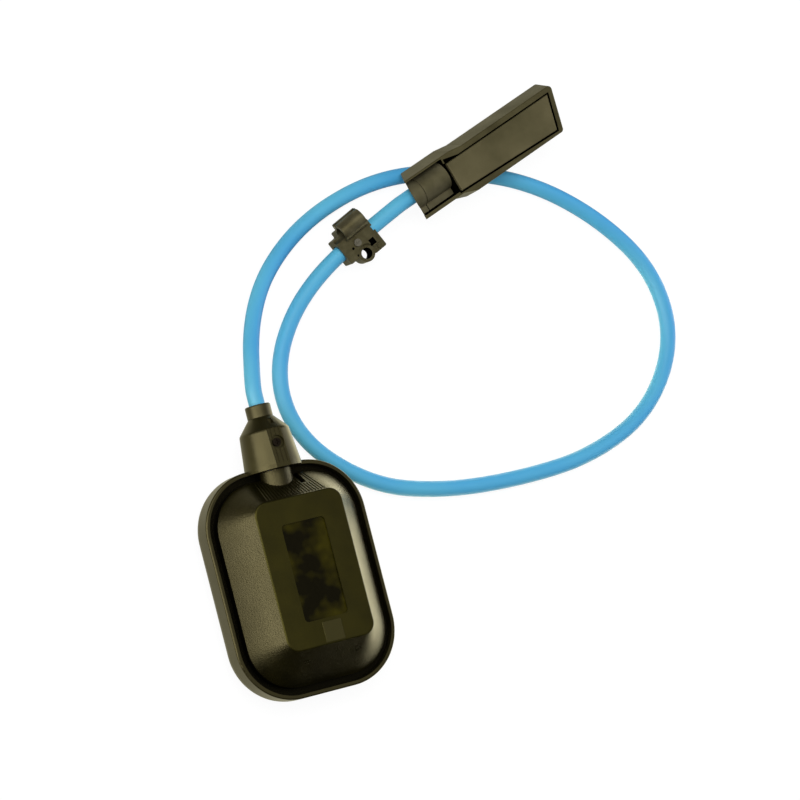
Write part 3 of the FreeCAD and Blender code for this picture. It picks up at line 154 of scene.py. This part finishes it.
# The soft boxes: place, size, power, and whether each lights matt surfaces and shows in glossy ones.
LAMP_AIM = Vector((0, 0, 0.03))
LAMPS = {
    "left_soft_box": ((-0.95, 0.12, 0.56), 1.0, 15, False, True),
    "left_fill": ((-0.95, 0.12, 0.56), 1.0, 7, True, False),
    "right_soft_box": ((0.8, 0.10, 0.20), 0.4, 1.3, True, True),
    "top_soft_box": ((-0.3, 0.4, 1.2), 0.8, 7, True, True),
}


def set_camera():
    right = PICTURE_UP.cross(TOWARD_CAMERA).normalized()
    up = TOWARD_CAMERA.cross(right)
    data = bpy.data.cameras.new("picture_camera")
    data.lens = LENS_MM
    data.sensor_width = SENSOR_MM
    camera = bpy.data.objects.new("picture_camera", data)
    turn = Matrix((right, up, TOWARD_CAMERA)).transposed().to_4x4()
    camera.matrix_world = Matrix.Translation(LOOK_AT + TOWARD_CAMERA * CAMERA_DISTANCE) @ turn
    scene.collection.objects.link(camera)
    scene.camera = camera


def add_lamp(name, place, size, power, matt, gloss):
    """A square soft box that faces the float."""
    data = bpy.data.lights.new(name, "AREA")
    data.size = size
    data.energy = power
    lamp = bpy.data.objects.new(name, data)
    lamp.location = place
    lamp.rotation_euler = (Vector(place) - LAMP_AIM).to_track_quat("Z", "Y").to_euler()
    lamp.visible_diffuse = matt
    lamp.visible_glossy = gloss
    scene.collection.objects.link(lamp)


def new_finish(name):
    material = bpy.data.materials.new(name)
    material.use_nodes = True
    return material, material.node_tree, material.node_tree.nodes["Principled BSDF"]


def add_node(tree, kind, inputs=None, **settings):
    """A node with its settings, and its inputs set to a value or joined to another node's output."""
    node = tree.nodes.new(kind)
    for key, setting in settings.items():
        setattr(node, key, setting)
    for key, given in (inputs or {}).items():
        if isinstance(given, bpy.types.NodeSocket):
            tree.links.new(given, node.inputs[key])
        else:
            node.inputs[key].default_value = given
    return node


def reckon(tree, operation, *numbers):
    """A sum on numbers or on other nodes' outputs."""
    return add_node(tree, "ShaderNodeMath", dict(enumerate(numbers)), operation=operation).outputs[0]


def measure(tree, operation, *vectors):
    """A number got from one or two vectors, such as a length or a distance."""
    node = add_node(tree, "ShaderNodeVectorMath", dict(enumerate(vectors)), operation=operation)
    return node.outputs["Value"]


def step(tree, end, start):
    """The vector that leads from the start to the end."""
    node = add_node(tree, "ShaderNodeVectorMath", {0: end, 1: start}, operation="SUBTRACT")
    return node.outputs["Vector"]


def place_on_piece(tree):
    return add_node(tree, "ShaderNodeTexCoord").outputs["Object"]


def blotches(tree, place, size, detail=3):
    """Soft random clouding whose patches are about as large as the size."""
    noise = add_node(tree, "ShaderNodeTexNoise", {"Vector": place, "Scale": 1 / size, "Detail": detail})
    return noise.outputs["Fac"]


def between(tree, amount, low, high, start=0.3, end=0.7):
    """Runs from low to high while the amount goes from start to end."""
    ramp = add_node(tree, "ShaderNodeMapRange", {"Value": amount, "From Min": start, "From Max": end,
                                                 "To Min": low, "To Max": high})
    return ramp.outputs["Result"]


def inside(tree, amount, limits):
    """1 where the amount lies between two limits, and 0 elsewhere."""
    low, high = limits
    return reckon(tree, "COMPARE", amount, (low + high) / 2, (high - low) / 2)


def tint(tree, amount, low, high):
    """A colour between two, each given as numbers or as another node's output."""
    low, high = (colour if isinstance(colour, bpy.types.NodeSocket) else (*colour, 1)
                 for colour in (low, high))
    return add_node(tree, "ShaderNodeMix", {0: amount, 6: low, 7: high}, data_type="RGBA").outputs[2]


def dent(tree, height, depth, strength, before=None):
    """Surface relief from a height, on top of an earlier relief."""
    inputs = {"Height": height, "Distance": depth, "Strength": strength}
    if before is not None:
        inputs["Normal"] = before
    return add_node(tree, "ShaderNodeBump", inputs).outputs["Normal"]


def moulded(name, deep, pale, smooth=0.34, rough=0.48, cloud=0.012):
    """Moulded plastic: clouded colour, uneven gloss and a fine grain."""
    material, tree, shader = new_finish(name)
    place = place_on_piece(tree)
    clouds = between(tree, blotches(tree, place, cloud, detail=4), 0, 1)
    tree.links.new(tint(tree, clouds, deep, pale), shader.inputs["Base Color"])
    gloss = between(tree, blotches(tree, place, size=0.02), smooth, rough)
    tree.links.new(gloss, shader.inputs["Roughness"])
    grain = dent(tree, blotches(tree, place, size=0.0005), depth=0.00003, strength=0.6)
    tree.links.new(grain, shader.inputs["Normal"])
    shader.inputs["Specular Tint"].default_value = (*WARM_SHEEN, 1)
    return material


def own_axes(tree, start, along, across):
    """How far a point of the piece lies along, across and above a frame of its own."""
    place = step(tree, place_on_piece(tree), start)
    return [measure(tree, "DOT_PRODUCT", place, axis) for axis in (along, across, along.cross(across))]


def paint_shade(material, shade_mask):
    """Paints shade: makes the plastic near-black and dull where the given mask is 1."""
    tree = material.node_tree
    shader = tree.nodes["Principled BSDF"]
    base = shader.inputs["Base Color"]
    # Painted shade: a near-black base colour and no shine over the masked area.
    tree.links.new(tint(tree, shade_mask, base.links[0].from_socket, PAINTED_SHADE_COLOUR), base)
    shine = between(tree, shade_mask, PLAIN_SHINE, 0, start=0, end=1)
    tree.links.new(shine, shader.inputs["Specular IOR Level"])


def paint_recess_shade(material):
    """Paints shade: darkens the connector's plastic down in the recess around its lid and bridge."""
    tree = material.node_tree
    along, across, up = own_axes(tree, PLUG_PLACE, PLUG_ALONG, PLUG_ACROSS)
    ends = inside(tree, reckon(tree, "MULTIPLY_ADD", across, -PLUG_SLANT, along), RECESS_ENDS)
    sides = inside(tree, reckon(tree, "MULTIPLY_ADD", along, PLUG_TAPER, across), RECESS_SIDES)
    recess = reckon(tree, "MULTIPLY", ends, sides)
    paint_shade(material, reckon(tree, "MULTIPLY", recess, inside(tree, up, RECESS_DEPTH)))


def paint_hole_shade(material):
    """Paints shade: darkens the clip's plastic down in its slot, its eye and its small holes."""
    tree = material.node_tree
    along, across, up = own_axes(tree, CLIP_PLACE, CLIP_ALONG, CLIP_ACROSS)
    shade_mask = reckon(tree, "MULTIPLY", inside(tree, along, SLOT_ENDS), inside(tree, across, SLOT_SIDES))
    shade_mask = reckon(tree, "MULTIPLY", shade_mask, reckon(tree, "LESS_THAN", up, SLOT_TOP))
    plan = add_node(tree, "ShaderNodeCombineXYZ", {0: along, 1: across}).outputs[0]
    for x, y, radius in CLIP_HOLES:
        away = measure(tree, "DISTANCE", plan, (x, y, 0))
        shade_mask = reckon(tree, "MAXIMUM", shade_mask, reckon(tree, "LESS_THAN", away, radius))
    paint_shade(material, shade_mask)


def cover_finish():
    """Black plastic: grained slopes, a smoother flat top, a paler tile, a dark, uneven window, and shade
    painted near-black low down at its foot.
    """
    material, tree, shader = new_finish("cover_black")
    place = place_on_piece(tree)
    x, y, z = add_node(tree, "ShaderNodeSeparateXYZ", {0: place}).outputs
    window = reckon(tree, "COMPARE", z, WINDOW_FLOOR, WINDOW_MARGIN)
    window = reckon(tree, "MULTIPLY", window, reckon(tree, "COMPARE", x, 0.0, WINDOW_HALF_WIDTH))
    window = reckon(tree, "MULTIPLY", window, reckon(tree, "COMPARE", y, WINDOW_MIDDLE, WINDOW_HALF_LENGTH))
    flat = reckon(tree, "COMPARE", z, FLAT_TOP, FLAT_MARGIN)
    tile = reckon(tree, "COMPARE", z, TILE_TOP, TILE_MARGIN)
    groove_shade = reckon(tree, "LESS_THAN", z, GROOVE_TOP)
    slope = reckon(tree, "SUBTRACT", reckon(tree, "SUBTRACT", 1.0, flat), window)

    clouds = between(tree, blotches(tree, place, size=0.012, detail=5), 0, 1)
    patches = between(tree, blotches(tree, place, size=0.014, detail=2), 0, 1, start=0.42, end=0.62)
    colour = tint(tree, clouds, *SLOPE_COLOURS)
    colour = tint(tree, flat, colour, tint(tree, clouds, *FLAT_COLOURS))
    colour = tint(tree, window, colour, tint(tree, patches, *WINDOW_COLOURS))
    colour = tint(tree, tile, colour, TILE_COLOUR)
    # Painted shade: the cover below the groove's top turns near-black.
    colour = tint(tree, groove_shade, colour, GROOVE_PAINTED_SHADE)
    tree.links.new(colour, shader.inputs["Base Color"])

    rougher_flat, smoother_window = 0.08, -0.16
    gloss = between(tree, blotches(tree, place, size=0.015), 0.27, 0.37)
    gloss = reckon(tree, "MULTIPLY_ADD", flat, rougher_flat, gloss)
    gloss = reckon(tree, "MULTIPLY_ADD", window, smoother_window, gloss)
    tree.links.new(gloss, shader.inputs["Roughness"])

    # Below the groove's top the shine is cut as part of the painted shade; in the window it is cut too.
    less_on_flat, shine_left_in_window_and_groove_shade = -0.26, 0.22
    shine = between(tree, z, 0.36, 0.62, start=0.0215, end=0.034)
    shine = reckon(tree, "MULTIPLY_ADD", flat, less_on_flat, shine)
    window_or_groove_shade = reckon(tree, "MAXIMUM", window, groove_shade)
    shine = reckon(tree, "MULTIPLY", shine, between(tree, window_or_groove_shade, 1, shine_left_in_window_and_groove_shade, start=0, end=1))
    tree.links.new(shine, shader.inputs["Specular IOR Level"])
    tree.links.new(tint(tree, flat, WARM_SHEEN, FLAT_SHEEN), shader.inputs["Specular Tint"])

    grained = between(tree, slope, 0.06, 0.9, start=0, end=1)
    grain = dent(tree, blotches(tree, place, size=0.0006, detail=4), depth=0.00016, strength=grained)
    waved = reckon(tree, "MULTIPLY", window, 0.4)
    waves = blotches(tree, place, size=0.006, detail=2)
    waves = dent(tree, waves, depth=0.0012, strength=waved, before=grain)
    tree.links.new(waves, shader.inputs["Normal"])
    return material


def bright_metal(name, colour, smooth=0.18, rough=0.34):
    """Turned or stamped metal with faint clouding."""
    material, tree, shader = new_finish(name)
    place = place_on_piece(tree)
    dimmed = 0.7
    dark = tuple(part * dimmed for part in colour)
    clouds = between(tree, blotches(tree, place, size=0.003, detail=5), 0, 1)
    tree.links.new(tint(tree, clouds, dark, colour), shader.inputs["Base Color"])
    gloss = between(tree, blotches(tree, place, size=0.001), smooth, rough)
    tree.links.new(gloss, shader.inputs["Roughness"])
    shader.inputs["Metallic"].default_value = 1
    return material


def blue_sheath():
    """Satin blue sheath, a little paler in stretches, with painted light and shade: cyan on the side facing
    the lamps, azure on the far side.
    """
    material, tree, shader = new_finish("blue_sheath")
    place = place_on_piece(tree)
    stretches = between(tree, blotches(tree, place, size=0.05, detail=2), 0, 1)
    facing = add_node(tree, "ShaderNodeNewGeometry").outputs["Normal"]
    away_from_lamps = add_node(tree, "ShaderNodeSeparateXYZ", {0: facing}).outputs["X"]
    cyan = tint(tree, stretches, *SHEATH_LIT_CYAN)
    azure = tint(tree, stretches, *SHEATH_SHADED_AZURE)
    # Painted light and shade: the colour turns by the way the surface faces, cyan towards -X where the main
    # lamps stand, azure away from them.
    colour = tint(tree, between(tree, away_from_lamps, 0, 1, start=-0.8, end=0.8), cyan, azure)
    tree.links.new(colour, shader.inputs["Base Color"])
    gloss = between(tree, blotches(tree, place, size=0.004), 0.40, 0.52)
    tree.links.new(gloss, shader.inputs["Roughness"])
    relief = dent(tree, blotches(tree, place, size=0.003), depth=0.00002, strength=0.4)
    tree.links.new(relief, shader.inputs["Normal"])
    shader.inputs["Specular IOR Level"].default_value = 0.3
    return material


def pale_floor():
    """Floor: white to the camera with a faint shadow, and a painted reflection: an uneven, warm glow that
    only the pieces' reflections see.
    """
    material, tree, shader = new_finish("pale_floor")
    shader.inputs["Base Color"].default_value = (*FLOOR_PAINT, 1)
    shader.inputs["Roughness"].default_value = FLOOR_ROUGHNESS
    place = add_node(tree, "ShaderNodeSeparateXYZ", {0: place_on_piece(tree)}).outputs
    light = add_node(tree, "ShaderNodeLightPath").outputs
    direct = light["Is Camera Ray"]

    # Painted reflection: for glossy rays the floor glows, brighter to the right and dimmed before the float
    # and behind the neck.
    brighter_right = between(tree, place["X"], 0.8, 3.0, start=0.01, end=0.05)
    dim_before_float = between(tree, place["Y"], 0.01, 1, start=-0.14, end=-0.09)
    dim_behind_neck = between(tree, place["Y"], 1, 0.15, start=0.095, end=0.125)
    painted_reflection = reckon(tree, "MULTIPLY", brighter_right, dim_before_float)
    painted_reflection = reckon(tree, "MULTIPLY", painted_reflection, dim_behind_neck)
    glow = reckon(tree, "MULTIPLY", painted_reflection, reckon(tree, "SUBTRACT", 1.0, direct))
    glow = reckon(tree, "MULTIPLY_ADD", direct, FLOOR_WHITE, glow)
    colour = tint(tree, direct, FLOOR_REFLECTION_TINT, (1, 1, 1))
    glow = add_node(tree, "ShaderNodeEmission", {"Color": colour, "Strength": glow}).outputs["Emission"]

    share = reckon(tree, "MULTIPLY", direct, FLOOR_WHITE_SHARE)
    share = reckon(tree, "MAXIMUM", share, light["Is Glossy Ray"])
    share = reckon(tree, "MAXIMUM", share, light["Is Transmission Ray"])
    mix = add_node(tree, "ShaderNodeMixShader", {0: share, 1: shader.outputs["BSDF"], 2: glow})
    tree.links.new(mix.outputs["Shader"], tree.nodes["Material Output"].inputs["Surface"])
    return material


def lay_floor():
    mesh = bpy.data.meshes.new("floor")
    half, low = FLOOR_HALF, cad_box[0][2]
    corners = [(-half, -half, low), (half, -half, low), (half, half, low), (-half, half, low)]
    mesh.from_pydata(corners, [], [(0, 1, 2, 3)])
    mesh.materials.append(pale_floor())
    floor = bpy.data.objects.new("floor", mesh)
    scene.collection.objects.link(floor)


def light_room():
    """A dim room that is paler overhead and white to the camera, with its soft boxes."""
    world = bpy.data.worlds.new("pale_room")
    world.use_nodes = True
    tree = world.node_tree
    way = add_node(tree, "ShaderNodeTexCoord").outputs["Generated"]
    height = add_node(tree, "ShaderNodeSeparateXYZ", {0: way}).outputs["Z"]
    light = add_node(tree, "ShaderNodeLightPath").outputs
    sky = between(tree, height, 0.03, 0.7, start=0.45, end=0.95)
    sky = reckon(tree, "MAXIMUM", sky, light["Is Camera Ray"])
    tree.links.new(sky, tree.nodes["Background"].inputs["Strength"])
    tree.nodes["Background"].inputs["Color"].default_value = (1, 1, 1, 1)
    scene.world = world
    for name, lamp in LAMPS.items():
        add_lamp(name, *lamp)


def make_cord():
    curve = bpy.data.curves.new("blue_cord", "CURVE")
    curve.dimensions = "3D"
    line = curve.splines.new("NURBS")
    line.points.add(len(CORD_ROUTE) - 1)
    for point, place in zip(line.points, CORD_ROUTE):
        point.co = (*place, 1)
    line.order_u = 3
    line.use_endpoint_u = True
    line.resolution_u = CORD_STEPS
    curve.bevel_depth = CORD_DIAMETER / 2
    curve.bevel_resolution = CORD_ROUNDING
    curve.use_fill_caps = True
    curve.materials.append(blue_sheath())
    cord = bpy.data.objects.new("blue_cord", curve)
    scene.collection.objects.link(cord)
    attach(cord, "float")
    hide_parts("cord")


def rib_tree():
    """A row of round ribs up the cover's slope, from its foot or what stands there to near its flat top."""
    tree = bpy.data.node_groups.new("finger_ribs", "GeometryNodeTree")
    tree.interface.new_socket("Ribs", in_out="OUTPUT", socket_type="NodeSocketGeometry")
    for name in (*RIBS, *SLOPE):
        kind = "NodeSocketInt" if name == "Count" else "NodeSocketFloat"
        tree.interface.new_socket(name, in_out="INPUT", socket_type=kind)
    tree.interface.new_socket("Finish", in_out="INPUT", socket_type="NodeSocketMaterial")
    given = tree.nodes.new("NodeGroupInput").outputs

    # Where each rib's line meets the slope's foot and its top.
    index = add_node(tree, "GeometryNodeInputIndex").outputs[0]
    along = reckon(tree, "MULTIPLY_ADD", index, given["Pitch"], given["First"])
    spread = reckon(tree, "DIVIDE", given["Top Half"], given["Foot Half"])
    wider = reckon(tree, "MULTIPLY", along, spread)
    foot, top = (
        add_node(tree, "ShaderNodeCombineXYZ",
                 {0: x, 1: given[end + " Reach"], 2: given[end + " Height"]}).outputs[0]
        for end, x in (("Foot", along), ("Top", wider)))

    # The share of the way up at which each rib starts, clear of the slot and of the bulge's arch.
    on_slot = reckon(tree, "COMPARE", along, given["Slot Middle"], given["Slot Half"])
    above_slot = reckon(tree, "MULTIPLY", on_slot, given["Slot Share"])
    across = reckon(tree, "MULTIPLY", along, along)
    square = reckon(tree, "MULTIPLY", given["Bulge Radius"], given["Bulge Radius"])
    arch = reckon(tree, "SQRT", reckon(tree, "MAXIMUM", reckon(tree, "SUBTRACT", square, across), 0.0))
    arch = reckon(tree, "SUBTRACT", reckon(tree, "ADD", arch, given["Bulge Axis"]), given["Foot Height"])
    rise = reckon(tree, "SUBTRACT", given["Top Height"], given["Foot Height"])
    above_bulge = reckon(tree, "DIVIDE", arch, rise)
    start = reckon(tree, "MAXIMUM", given["Low Share"], reckon(tree, "MAXIMUM", above_slot, above_bulge))
    low, high = (add_node(tree, "ShaderNodeMix", {0: share, 4: foot, 5: top}, data_type="VECTOR").outputs[1]
                 for share in (start, given["High Share"]))
    climb = step(tree, high, low)
    length = measure(tree, "LENGTH", climb)

    # A bar of unit length on each start, leant along the climb and stretched to its length.
    points = add_node(tree, "GeometryNodePoints", {"Count": given["Count"], "Position": low}).outputs[0]
    bar = add_node(tree, "GeometryNodeMeshCylinder",
                   {"Vertices": RIB_SIDES, "Radius": given["Rib Radius"], "Depth": 1.0}).outputs["Mesh"]
    bar = add_node(tree, "GeometryNodeTransform", {"Geometry": bar, "Translation": (0, 0, 0.5)}).outputs[0]
    lean = add_node(tree, "FunctionNodeAlignRotationToVector", {"Vector": climb}, axis="Z").outputs[0]
    size = add_node(tree, "ShaderNodeCombineXYZ", {0: 1.0, 1: 1.0, 2: length}).outputs[0]
    row = add_node(tree, "GeometryNodeInstanceOnPoints",
                   {"Points": points, "Instance": bar, "Rotation": lean, "Scale": size}).outputs[0]
    row = add_node(tree, "GeometryNodeRealizeInstances", {0: row}).outputs[0]
    row = add_node(tree, "GeometryNodeSetMaterial",
                   {"Geometry": row, "Material": given["Finish"]}).outputs[0]
    tree.links.new(row, tree.nodes.new("NodeGroupOutput").inputs["Ribs"])
    return tree


def add_ribs(name, tree, finish):
    """The row of ribs, turned into a plain mesh that stays with the float."""
    ribs = bpy.data.objects.new(name, bpy.data.meshes.new(name))
    scene.collection.objects.link(ribs)
    grower = ribs.modifiers.new(name, "NODES")
    grower.node_group = tree
    values = {**SLOPE, **RIBS, "Finish": finish}
    for item in tree.interface.items_tree:
        if item.in_out == "INPUT":
            grower[item.identifier] = values[item.name]
    seen = ribs.evaluated_get(bpy.context.evaluated_depsgraph_get())
    mesh = bpy.data.meshes.new_from_object(seen)
    ribs.modifiers.clear()
    ribs.data = mesh
    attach(ribs, "float")


def dress(finishes):
    """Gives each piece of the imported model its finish."""
    for name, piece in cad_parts.items():
        piece.data.materials.clear()
        piece.data.materials.append(finishes[name])


set_camera()
lay_floor()
light_room()
make_cord()

# The finishes: the shells and the pieces on the cord, then what is inside, then the metals.
cover_black = cover_finish()
tub_black = moulded("tub_black", (0.004, 0.0034, 0.0005), (0.012, 0.0105, 0.002), smooth=0.28, rough=0.40)
connector_black = moulded("connector_black", (0.028, 0.0245, 0.010), (0.068, 0.060, 0.028),
                          smooth=0.28, rough=0.42)
paint_recess_shade(connector_black)
lid_black = moulded("lid_black", (0.045, 0.040, 0.018), (0.115, 0.100, 0.052),
                    smooth=0.34, rough=0.50, cloud=0.025)
bridge_black = moulded("bridge_black", (0.052, 0.047, 0.024), (0.135, 0.121, 0.072),
                       smooth=0.30, rough=0.44)
clip_black = moulded("clip_black", (0.010, 0.009, 0.004), (0.050, 0.046, 0.026), cloud=0.004)
paint_hole_shade(clip_black)
jaw_black = moulded("jaw_black", (0.024, 0.021, 0.010), (0.080, 0.072, 0.042), cloud=0.005)
bush_black = moulded("bush_black", (0.008, 0.007, 0.002), (0.024, 0.021, 0.010), smooth=0.30, rough=0.42)
seal_rubber = moulded("seal_rubber", (0.003, 0.003, 0.003), (0.009, 0.009, 0.008), smooth=0.6, rough=0.75)
saddle_grey = moulded("saddle_grey", (0.05, 0.05, 0.05), (0.09, 0.09, 0.085))
tray_natural = moulded("tray_natural", (0.46, 0.45, 0.40), (0.60, 0.59, 0.54))
switch_black = moulded("switch_black", (0.02, 0.02, 0.022), (0.05, 0.05, 0.055), cloud=0.004)
block_grey = moulded("block_grey", (0.05, 0.05, 0.05), (0.10, 0.10, 0.10), cloud=0.004)
plunger_red = moulded("plunger_red", (0.42, 0.03, 0.02), (0.62, 0.06, 0.04),
                      smooth=0.2, rough=0.3, cloud=0.002)
brown_coat = moulded("brown_coat", (0.12, 0.045, 0.016), (0.20, 0.085, 0.034), cloud=0.004)
blue_coat = moulded("blue_coat", (0.014, 0.06, 0.36), (0.03, 0.10, 0.48), cloud=0.004)
black_coat = moulded("black_coat", (0.010, 0.010, 0.010), (0.026, 0.026, 0.026), cloud=0.004)
dark_screw = bright_metal("dark_screw", (0.020, 0.015, 0.010), smooth=0.3, rough=0.45)
grey_screw = bright_metal("grey_screw", (0.13, 0.12, 0.09), smooth=0.35, rough=0.5)
spring_steel = bright_metal("spring_steel", (0.62, 0.62, 0.60))
pin_steel = bright_metal("pin_steel", (0.50, 0.50, 0.49))
ball_steel = bright_metal("ball_steel", (0.76, 0.76, 0.77), smooth=0.05, rough=0.12)
contact_brass = bright_metal("contact_brass", (0.78, 0.58, 0.26))

dress({
    "body_shell": tub_black, "cover_shell": cover_black, "cover_seal": seal_rubber,
    "neck_screw": dark_screw, "clamp_saddle": saddle_grey, "cable_bush": bush_black,
    "switch_tray": tray_natural, "tray_screws": dark_screw, "switch_case": switch_black,
    "switch_terminals": contact_brass, "plunger": plunger_red, "lever": spring_steel,
    "lever_pin": pin_steel, "steel_ball": ball_steel,
    "core_brown": brown_coat, "core_blue": blue_coat, "core_black": black_coat,
    "connector_housing": connector_black, "connector_lid": lid_black, "clamp_bridge": bridge_black,
    "contact_block": block_grey, "contact_sockets": contact_brass, "spigot_seal": seal_rubber,
    "lead_brown": brown_coat, "lead_blue": blue_coat, "lead_black": black_coat,
    "clip_base": clip_black, "clip_jaw": jaw_black, "clip_pin": pin_steel, "clip_screw": grey_screw,
    "cord": black_coat,
})

add_ribs("finger_ribs", rib_tree(), cover_black)
